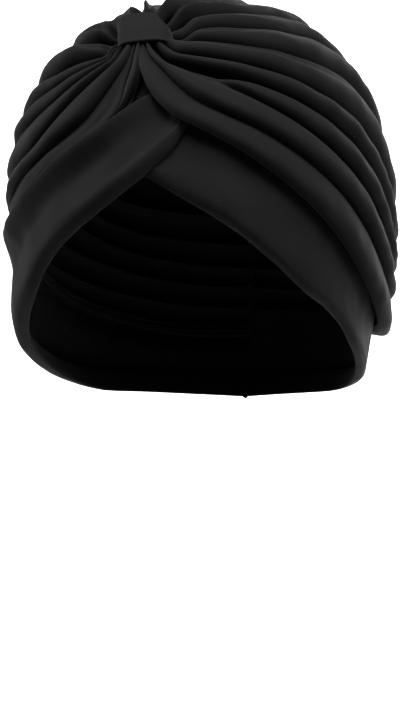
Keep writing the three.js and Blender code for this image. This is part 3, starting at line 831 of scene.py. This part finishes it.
def knitMaterial(name):
    material = bpy.data.materials.new(name)
    material.use_nodes = True
    maker = ShaderMaker(material)
    shader = material.node_tree.nodes["Principled BSDF"]
    uv = maker.node("ShaderNodeTexCoord", output="UV")
    across = maker.node("ShaderNodeSeparateXYZ", {}, {"Vector": uv}, output="X")
    along = maker.node("ShaderNodeSeparateXYZ", {}, {"Vector": uv}, output="Y")
    place = maker.node("ShaderNodeTexCoord", output="Object")
    # columns of stitches, each a small v
    wales = across * (math.pi * 10 / knit["stitchWidth"])
    courses = along * (2 * math.pi * 10 / knit["stitchHeight"])
    legs = wales.sine().size()
    stitch = (courses + legs * 2.6).sine() * 0.5 + 0.5
    column = legs ** 0.6
    yarn = column * 0.55 + stitch * 0.45
    fuzz = maker.node("ShaderNodeTexNoise", {}, {
        "Vector": place, "Scale": knit["fuzzScale"], "Detail": 2.0, "Roughness": 0.6})
    patches = maker.node("ShaderNodeTexNoise", {}, {
        "Vector": place, "Scale": knit["patchScale"], "Detail": 3.0, "Roughness": 0.55})
    tone = yarn * 0.3 + fuzz * 0.5 + patches * 0.3
    colour = maker.node("ShaderNodeMix", {"data_type": "RGBA"}, {
        "Factor": tone, "A": knit["darkColour"], "B": knit["lightColour"]}, output=2)
    spread = knit["roughnessSpread"]
    rough = fuzz * spread + (knit["roughness"] - spread * 0.5)
    relief = yarn * 0.7 + fuzz * 0.5
    bump = maker.node("ShaderNodeBump", {}, {
        "Strength": knit["bump"], "Distance": knit["bumpDepth"], "Height": relief}, output="Normal")
    maker.feed(shader, {
        "Base Color": colour,
        "Roughness": rough,
        "Normal": bump,
        "Sheen Weight": knit["sheen"],
        "Sheen Roughness": knit["sheenRoughness"],
        "Specular IOR Level": knit["specular"],
    })
    return material


blackKnit = knitMaterial("black_knit")


def finishPiece(piece, settings, flat):
    giveThickness(piece, settings["thickness"])
    piece.data.materials.append(blackKnit)
    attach(piece, "root")
    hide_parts(settings["node"])
    print(settings["name"], "area m2:", round(sheetArea(piece), 4), "flat:", flat)


leftPleats = clothFromRows(leftWrap["name"], wrapRows(leftWrap))
finishPiece(leftPleats, leftWrap, (0.30, 0.19))
rightPleats = clothFromRows(rightWrap["name"], wrapRows(rightWrap))
finishPiece(rightPleats, rightWrap, (0.30, 0.19))
print("pleats made")

leftEdge = clothFromRows(leftBand["name"], bandRows(leftBand))
finishPiece(leftEdge, leftBand, (0.30, 0.045))
rightEdge = clothFromRows(rightBand["name"], bandRows(rightBand))
finishPiece(rightEdge, rightBand, (0.30, 0.05))
print("bands made")

gatheringLoop = clothFromRows(loop["name"], loopRows())
finishPiece(gatheringLoop, loop, (0.04, 0.026))
print("loop made")

studio = {
    "floorZ": -1.5,
    "frontY": -2.6,
    "backY": 3.2,
    "halfWidth": 3.2,
    "length": 8.0,
    "bend": 0.5,
    "wallStretch": 3,
    "paint": (0.94, 0.94, 0.94, 1),
    "paintRoughness": 0.9,
    "cameraYaw": 14,
    "cameraHeight": 6,
    "cameraRoll": 3,
    "distance": 1.4,
    "target": (0, 0, -0.080),
    "aimLower": 2.756,
    "lens": 161.1,
    "world": 0.08,
}


def makeFloor():
    bm = bmesh.new()
    bmesh.ops.create_grid(bm, x_segments=1, y_segments=40, size=1)
    for vert in bm.verts:
        along = (vert.co.y + 1) / 2 * studio["length"]
        flatRun = studio["backY"] - studio["frontY"]
        x = vert.co.x * studio["halfWidth"]
        if along < flatRun:
            y, z = along + studio["frontY"], 0
        else:
            turn = min((along - flatRun) / studio["bend"], math.pi / 2)
            y = studio["backY"] + studio["bend"] * math.sin(turn)
            z = studio["bend"] * (1 - math.cos(turn))
            z += max(along - flatRun - studio["bend"] * math.pi / 2, 0) * studio["wallStretch"]
        vert.co = Vector((x, y, studio["floorZ"] + z))
    bmesh.ops.recalc_face_normals(bm, faces=bm.faces)
    mesh = bpy.data.meshes.new("studio_floor")
    bm.to_mesh(mesh)
    bm.free()
    for polygon in mesh.polygons:
        polygon.use_smooth = True
    floor = bpy.data.objects.new("studio_floor", mesh)
    bpy.context.scene.collection.objects.link(floor)
    paint = bpy.data.materials.new("pale_paint")
    paint.use_nodes = True
    shader = paint.node_tree.nodes["Principled BSDF"]
    shader.inputs["Base Color"].default_value = studio["paint"]
    shader.inputs["Roughness"].default_value = studio["paintRoughness"]
    mesh.materials.append(paint)


def softBox(name, location, aim, width, height, power, spread=180):
    data = bpy.data.lights.new(name, "AREA")
    data.shape = "RECTANGLE"
    data.size = width
    data.size_y = height
    data.energy = power
    data.spread = math.radians(spread)
    lamp = bpy.data.objects.new(name, data)
    lamp.location = location
    lamp.rotation_euler = (Vector(aim) - Vector(location)).to_track_quat("-Z", "Y").to_euler()
    bpy.context.scene.collection.objects.link(lamp)


makeFloor()
middle = (0, 0, -0.08)
softBox("top_box", (0.05, -0.5, 1.25), middle, 0.9, 0.9, 23)
softBox("left_box", (1.25, -0.2, 0.5), middle, 0.6, 1.0, 11)
softBox("right_box", (-1.25, -0.2, 0.5), middle, 0.6, 1.0, 12)
softBox("backdrop_box", (0, 2.4, 1.8), (0, 3.7, -0.7), 2.8, 0.6, 150, 100)

world = bpy.data.worlds.new("studio")
world.use_nodes = True
world.node_tree.nodes["Background"].inputs["Color"].default_value = (1, 1, 1, 1)
world.node_tree.nodes["Background"].inputs["Strength"].default_value = studio["world"]
bpy.context.scene.world = world
bpy.context.scene.view_settings.view_transform = "Standard"

yaw = math.radians(studio["cameraYaw"])
rise = math.radians(studio["cameraHeight"])
back = Vector((
    math.sin(yaw) * math.cos(rise),
    -math.cos(yaw) * math.cos(rise),
    math.sin(rise),
))
cameraData = bpy.data.cameras.new("camera")
cameraData.sensor_width = 36
cameraData.lens = studio["lens"]
cameraData.clip_start = 0.05
cameraData.clip_end = 20
camera = bpy.data.objects.new("camera", cameraData)
bpy.context.scene.collection.objects.link(camera)
turnTo = (-back).to_track_quat("-Z", "Y").to_matrix().to_4x4()
roll = Matrix.Rotation(math.radians(-studio["cameraRoll"]), 4, "Z")
lower = Matrix.Rotation(math.radians(-studio["aimLower"]), 4, "X")
stand = Matrix.Translation(Vector(studio["target"]) + back * studio["distance"])
camera.matrix_world = stand @ turnTo @ roll @ lower
bpy.context.scene.camera = camera
print("studio made")
